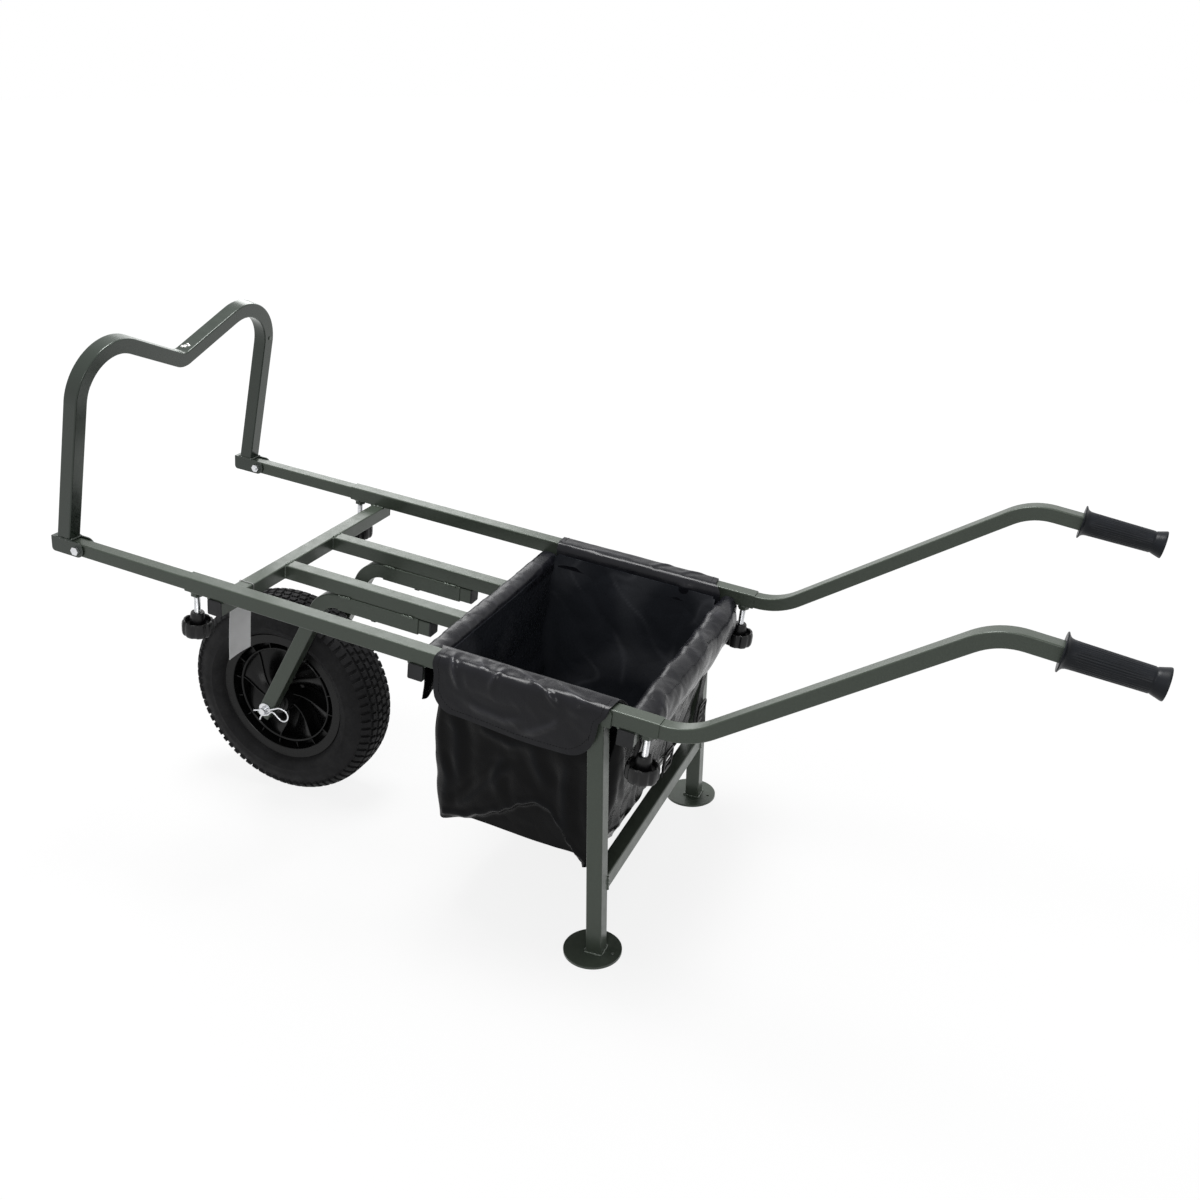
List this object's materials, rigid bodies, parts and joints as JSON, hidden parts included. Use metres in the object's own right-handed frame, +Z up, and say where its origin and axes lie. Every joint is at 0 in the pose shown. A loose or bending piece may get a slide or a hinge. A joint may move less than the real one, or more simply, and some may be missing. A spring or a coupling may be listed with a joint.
{
  "type": "fishing trolley",
  "caption": "Single-wheel fishing trolley: tubular steel deck with folding front hoop, sliding handles, folding rear legs, an air-filled wheel and a hanging open-top bag.",
  "frame": {"origin": "on the ground, under the middle of the overall length and width, with the trolley parked on its wheel and feet", "axes": "+X runs from the hoop towards the handles, +Y to the far side of the picture, +Z up. The deck slopes 6.4 degrees down towards the handles."},
  "size_m": [1.6504, 0.565, 0.854],
  "materials": {
    "frame_paint": "satin grey-green powder coat",
    "zinc": "bright zinc plate",
    "black_steel": "black oxide",
    "cap_plastic": "moulded, matt",
    "knob_plastic": "moulded, semi-matt",
    "rim_plastic": "moulded, semi-matt",
    "bush_plastic": "moulded",
    "tyre_rubber": "matt",
    "grip_rubber": "soft, matt",
    "bag_cloth": "coated nylon, slight sheen",
    "webbing": "woven",
    "buckle_plastic": "moulded",
    "card": "blank, matt"
  },
  "bodies": {
    "frame": {"rail_near": "frame_paint", "rail_far": "frame_paint", "crossmember_front": "frame_paint", "crossmember_middle": "frame_paint", "crossmember_rear": "frame_paint", "deck_bar_near": "frame_paint", "deck_bar_far": "frame_paint", "tube_end_caps": "cap_plastic", "clamp_nuts": "frame_paint", "fork_sleeve_near": "frame_paint", "fork_sleeve_far": "frame_paint", "fork_arm_near": "frame_paint", "fork_arm_far": "frame_paint", "fork_end_caps": "cap_plastic", "fork_set_screws": "black_steel", "axle": "zinc", "axle_washers": "zinc", "axle_clips": "zinc", "leg_bolts": "zinc", "leg_nuts": "zinc", "bag": "bag_cloth", "bag_straps": "webbing", "bag_buckles": "buckle_plastic", "hang_tag": "card"},
    "wheel": {"tyre": "tyre_rubber", "inner_tube": "tyre_rubber", "rim": "rim_plastic", "hub_bushes": "bush_plastic"},
    "front_slide_frame": {"front_tube_near": "frame_paint", "front_tube_far": "frame_paint", "hoop_bolts": "zinc", "hoop_nuts": "zinc"},
    "hoop": {"hoop_tube": "frame_paint", "hoop_bracket_near": "frame_paint", "hoop_bracket_far": "frame_paint"},
    "legs": {"leg_near": "frame_paint", "leg_far": "frame_paint", "leg_bracket_near": "frame_paint", "leg_bracket_far": "frame_paint", "leg_brace": "frame_paint", "foot_near": "frame_paint", "foot_far": "frame_paint"},
    "handle_near": {"handle_tube_near": "frame_paint", "grip_near": "grip_rubber"},
    "handle_far": {"handle_tube_far": "frame_paint", "grip_far": "grip_rubber"},
    "clamp_front_near": {"clamp_screw_front_near": "zinc", "knob_front_near": "knob_plastic"},
    "clamp_front_far": {"clamp_screw_front_far": "zinc", "knob_front_far": "knob_plastic"},
    "clamp_rear_near": {"clamp_screw_rear_near": "zinc", "knob_rear_near": "knob_plastic"},
    "clamp_rear_far": {"clamp_screw_rear_far": "zinc", "knob_rear_far": "knob_plastic"}
  },
  "joints": [
    {"name": "wheel_spin", "type": "hinge", "parent": "frame", "child": "wheel", "pos_m": [-0.56954, 0, 0.19], "axis": [0, 1, 0], "continuous": true},
    {"name": "front_slide", "type": "slide", "parent": "frame", "child": "front_slide_frame", "axis": [0.9938, 0, -0.1115], "range_m": [0, 0.19]},
    {"name": "hoop_fold", "type": "hinge", "parent": "front_slide_frame", "child": "hoop", "pos_m": [-0.77399, 0, 0.52035], "axis": [0, 1, 0], "range_deg": [0, 81]},
    {"name": "legs_fold", "type": "hinge", "parent": "frame", "child": "legs", "pos_m": [0.10251, 0, 0.42203], "axis": [0, 1, 0], "range_deg": [0, 90], "deforming": ["bag"]},
    {"name": "handle_near_slide", "type": "slide", "parent": "frame", "child": "handle_near", "axis": [0.9938, 0, -0.1115], "range_m": [0, 0.06]},
    {"name": "handle_far_slide", "type": "slide", "parent": "frame", "child": "handle_far", "axis": [0.9938, 0, -0.1115], "range_m": [0, 0.06]},
    {"name": "clamp_front_near_turn", "type": "hinge", "parent": "frame", "child": "clamp_front_near", "pos_m": [-0.55173, -0.2375, 0.48334], "axis": [0.1115, 0, 0.9938], "range_deg": [0, 720]},
    {"name": "clamp_front_far_turn", "type": "hinge", "parent": "frame", "child": "clamp_front_far", "pos_m": [-0.55173, 0.2375, 0.48334], "axis": [0.1115, 0, 0.9938], "range_deg": [0, 720]},
    {"name": "clamp_rear_near_turn", "type": "hinge", "parent": "frame", "child": "clamp_rear_near", "pos_m": [0.20155, -0.2375, 0.39885], "axis": [0.1115, 0, 0.9938], "range_deg": [0, 720]},
    {"name": "clamp_rear_far_turn", "type": "hinge", "parent": "frame", "child": "clamp_rear_far", "pos_m": [0.20155, 0.2375, 0.39885], "axis": [0.1115, 0, 0.9938], "range_deg": [0, 720]}
  ]
}
